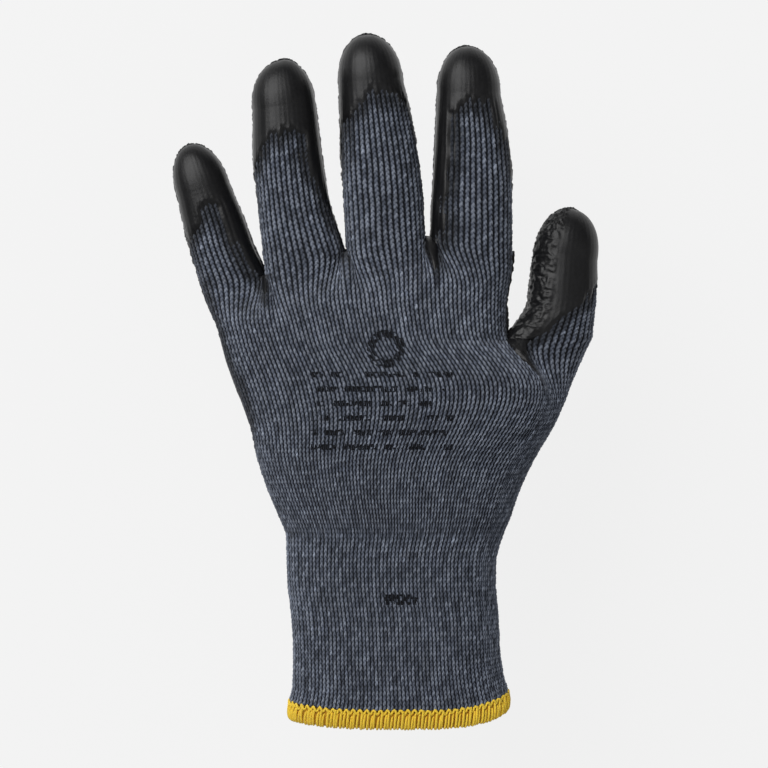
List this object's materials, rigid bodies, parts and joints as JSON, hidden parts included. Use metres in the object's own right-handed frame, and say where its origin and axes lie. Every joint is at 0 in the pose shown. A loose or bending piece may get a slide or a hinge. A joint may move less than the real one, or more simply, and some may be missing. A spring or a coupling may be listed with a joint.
{
  "type": "work glove",
  "caption": "Left-hand knitted work glove with a rubber-dipped palm, fingertips and thumb, a rib cuff and an overlocked hem; fingers, thumb and wrist bend.",
  "frame": {"origin": "centre of the bounding box at the surface the glove lies on, palm down", "axes": "+Y from the cuff to the fingertips, +X towards the thumb, +Z out of the back of the hand"},
  "size_m": [0.1454, 0.2394, 0.036],
  "materials": {
    "knit": "matte melange knit",
    "rubber": "satin, crinkled on the palm",
    "overlock": "matte thread",
    "elastic": "covered elastic yarn",
    "print": "matte transfer print"
  },
  "bodies": {
    "hand": {"heel_liner": "knit", "knuckle_liner": "knit", "heel_coating": "rubber", "knuckle_coating": "rubber", "print_mark": "print", "print_lines": "print"},
    "cuff": {"rib_cuff": "knit", "cuff_elastic": "elastic", "hem_overlock": "overlock", "print_wrist": "print"},
    "little_root": {"little_root_liner": "knit", "little_root_coating": "rubber"},
    "little_middle": {"little_middle_liner": "knit", "little_middle_coating": "rubber"},
    "little_tip": {"little_tip_liner": "knit", "little_tip_coating": "rubber"},
    "ring_root": {"ring_root_liner": "knit", "ring_root_coating": "rubber"},
    "ring_middle": {"ring_middle_liner": "knit", "ring_middle_coating": "rubber"},
    "ring_tip": {"ring_tip_liner": "knit", "ring_tip_coating": "rubber"},
    "middle_root": {"middle_root_liner": "knit", "middle_root_coating": "rubber"},
    "middle_middle": {"middle_middle_liner": "knit", "middle_middle_coating": "rubber"},
    "middle_tip": {"middle_tip_liner": "knit", "middle_tip_coating": "rubber"},
    "index_root": {"index_root_liner": "knit", "index_root_coating": "rubber"},
    "index_middle": {"index_middle_liner": "knit", "index_middle_coating": "rubber"},
    "index_tip": {"index_tip_liner": "knit", "index_tip_coating": "rubber"},
    "thumb_root": {"thumb_root_liner": "knit", "thumb_root_coating": "rubber"},
    "thumb_tip": {"thumb_tip_liner": "knit", "thumb_tip_coating": "rubber"}
  },
  "joints": [
    {"name": "wrist_bend", "type": "hinge", "parent": "hand", "child": "cuff", "pos_m": [0.00309, -0.04974, 0.016], "axis": [1, 0, 0], "range_deg": [-35, 35], "stiffness_Nm_per_rad": 0.05},
    {"name": "little_root_bend", "type": "hinge", "parent": "hand", "child": "little_root", "pos_m": [-0.05076, 0.03306, 0.00684], "axis": [-0.9511, -0.309, 0], "range_deg": [-10, 60], "stiffness_Nm_per_rad": 0.02},
    {"name": "little_middle_bend", "type": "hinge", "parent": "little_root", "child": "little_middle", "pos_m": [-0.05625, 0.04996, 0.00684], "axis": [-0.9511, -0.309, 0], "range_deg": [-10, 65], "stiffness_Nm_per_rad": 0.012},
    {"name": "little_tip_bend", "type": "hinge", "parent": "little_middle", "child": "little_tip", "pos_m": [-0.06135, 0.06563, 0.00684], "axis": [-0.9511, -0.309, 0], "range_deg": [-10, 45], "stiffness_Nm_per_rad": 0.008},
    {"name": "ring_root_bend", "type": "hinge", "parent": "hand", "child": "ring_root", "pos_m": [-0.02646, 0.04351, 0.00684], "axis": [-0.9936, -0.1132, 0], "range_deg": [-10, 60], "stiffness_Nm_per_rad": 0.02},
    {"name": "ring_middle_bend", "type": "hinge", "parent": "ring_root", "child": "ring_middle", "pos_m": [-0.02912, 0.06682, 0.00684], "axis": [-0.9936, -0.1132, 0], "range_deg": [-10, 65], "stiffness_Nm_per_rad": 0.012},
    {"name": "ring_tip_bend", "type": "hinge", "parent": "ring_middle", "child": "ring_tip", "pos_m": [-0.03158, 0.08844, 0.00684], "axis": [-0.9936, -0.1132, 0], "range_deg": [-10, 45], "stiffness_Nm_per_rad": 0.008},
    {"name": "middle_root_bend", "type": "hinge", "parent": "hand", "child": "middle_root", "pos_m": [0.00123, 0.04902, 0.00684], "axis": [-0.9962, -0.0872, 0], "range_deg": [-10, 60], "stiffness_Nm_per_rad": 0.02},
    {"name": "middle_middle_bend", "type": "hinge", "parent": "middle_root", "child": "middle_middle", "pos_m": [-0.0009, 0.07342, 0.00684], "axis": [-0.9962, -0.0872, 0], "range_deg": [-10, 65], "stiffness_Nm_per_rad": 0.012},
    {"name": "middle_tip_bend", "type": "hinge", "parent": "middle_middle", "child": "middle_tip", "pos_m": [-0.00288, 0.09606, 0.00684], "axis": [-0.9962, -0.0872, 0], "range_deg": [-10, 45], "stiffness_Nm_per_rad": 0.008},
    {"name": "index_root_bend", "type": "hinge", "parent": "hand", "child": "index_root", "pos_m": [0.02914, 0.05038, 0.00684], "axis": [-1, -0.0087, 0], "range_deg": [-10, 60], "stiffness_Nm_per_rad": 0.02},
    {"name": "index_middle_bend", "type": "hinge", "parent": "index_root", "child": "index_middle", "pos_m": [0.02894, 0.07287, 0.00684], "axis": [-1, -0.0087, 0], "range_deg": [-10, 65], "stiffness_Nm_per_rad": 0.012},
    {"name": "index_tip_bend", "type": "hinge", "parent": "index_middle", "child": "index_tip", "pos_m": [0.02876, 0.09373, 0.00684], "axis": [-1, -0.0087, 0], "range_deg": [-10, 45], "stiffness_Nm_per_rad": 0.008},
    {"name": "thumb_root_bend", "type": "hinge", "parent": "hand", "child": "thumb_root", "pos_m": [0.05724, 0.01206, 0.00684], "axis": [-0.9877, 0.1564, 0], "range_deg": [-10, 60], "stiffness_Nm_per_rad": 0.02},
    {"name": "thumb_tip_bend", "type": "hinge", "parent": "thumb_root", "child": "thumb_tip", "pos_m": [0.05637, 0.03456, 0.0095], "axis": [0, 0, 1], "range_deg": [-10, 30], "stiffness_Nm_per_rad": 0.012}
  ]
}
